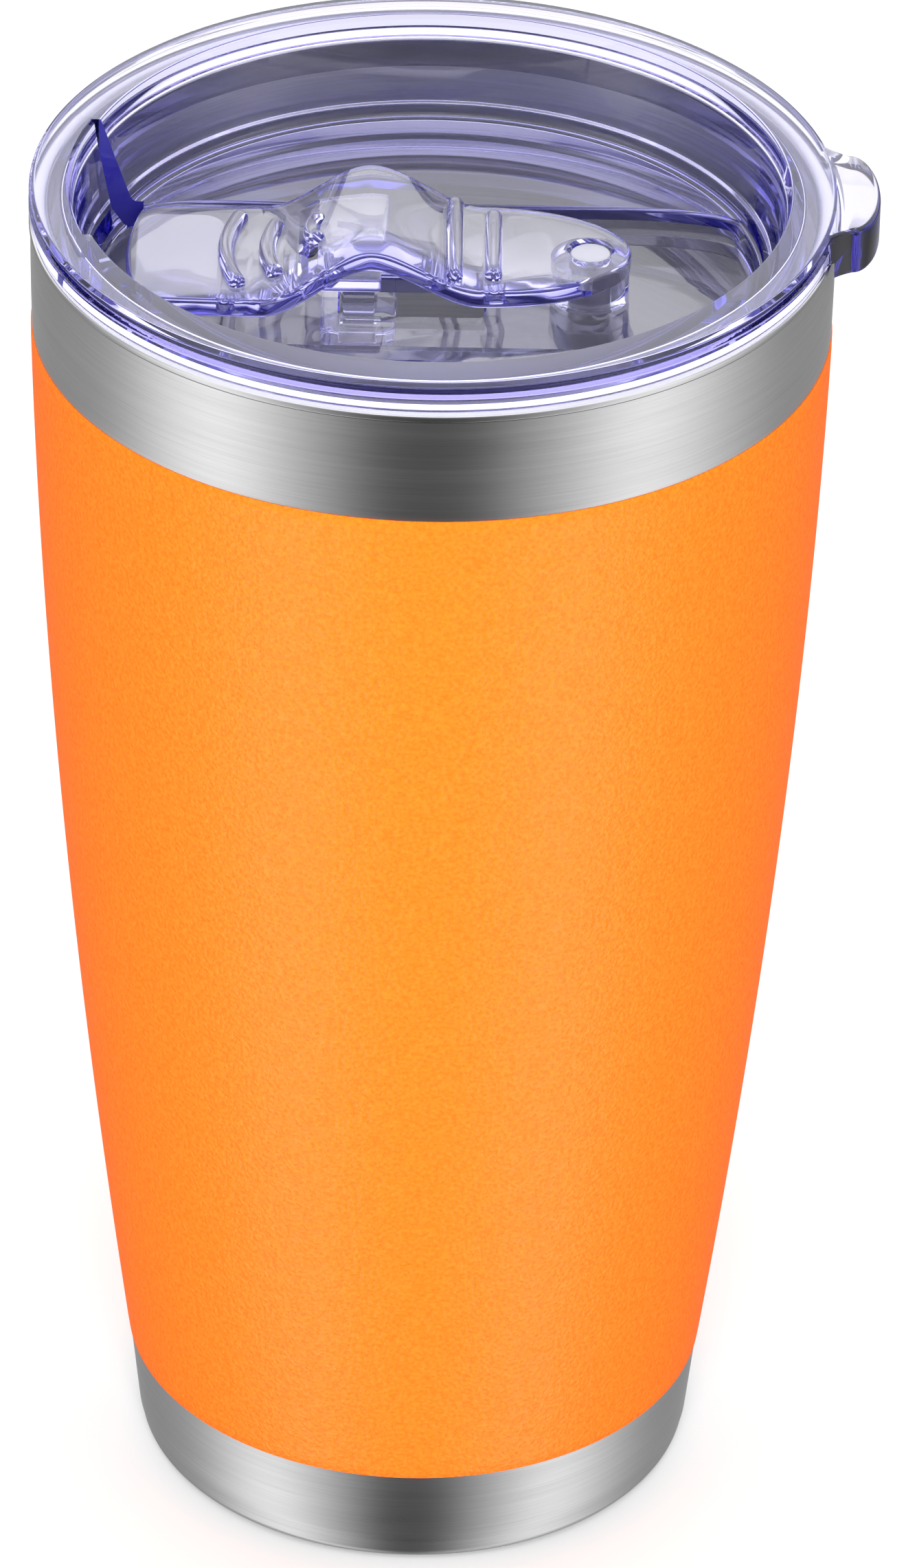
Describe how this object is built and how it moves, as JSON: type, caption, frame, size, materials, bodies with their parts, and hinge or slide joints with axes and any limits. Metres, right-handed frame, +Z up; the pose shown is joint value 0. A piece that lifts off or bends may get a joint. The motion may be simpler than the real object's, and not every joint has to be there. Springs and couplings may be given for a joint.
{
  "type": "insulated tumbler with lid",
  "caption": "Double-walled steel tumbler with a coated side, and a clear press-in lid with a sliding closure and finger tab.",
  "frame": {"origin": "centre of the base, on the surface that the tumbler stands on", "axes": "+Z up along the cup's axis, +X towards the lid's finger tab, -X towards the mouthpiece, +Y to the back"},
  "size_m": [0.0954, 0.0908, 0.1673],
  "materials": {
    "brushed_steel": "brushed round the axis",
    "powder_coat": "satin powder coat with a fine texture",
    "copper_foil": "thin copper foil",
    "getter_pellet": "sintered matte",
    "sealing_bead": "cast bead",
    "clear_plastic": "clear gloss with a violet-blue tint",
    "gasket_silicone": "satin translucent",
    "clear_silicone": "satin translucent"
  },
  "bodies": {
    "cup": {"outer_shell": "brushed_steel", "powder_coat": "powder_coat", "inner_liner": "brushed_steel", "copper_wrap": "copper_foil", "outer_base": "brushed_steel", "base_cap": "brushed_steel", "getter_holder": "brushed_steel", "getter_pellet": "getter_pellet", "vacuum_seal_bead": "sealing_bead"},
    "lid": {"lid_body": "clear_plastic", "lid_gasket": "gasket_silicone"},
    "slider": {"slider": "clear_plastic", "drink_seal_pad": "clear_silicone", "vent_plug": "clear_silicone", "slider_keeper": "clear_plastic"}
  },
  "joints": [
    {"name": "lid_lift", "type": "slide", "parent": "cup", "child": "lid", "axis": [0, 0, 1], "range_m": [0, 0.03]},
    {"name": "slider_slide", "type": "slide", "parent": "lid", "child": "slider", "axis": [1, 0, 0], "range_m": [0, 0.012]}
  ]
}
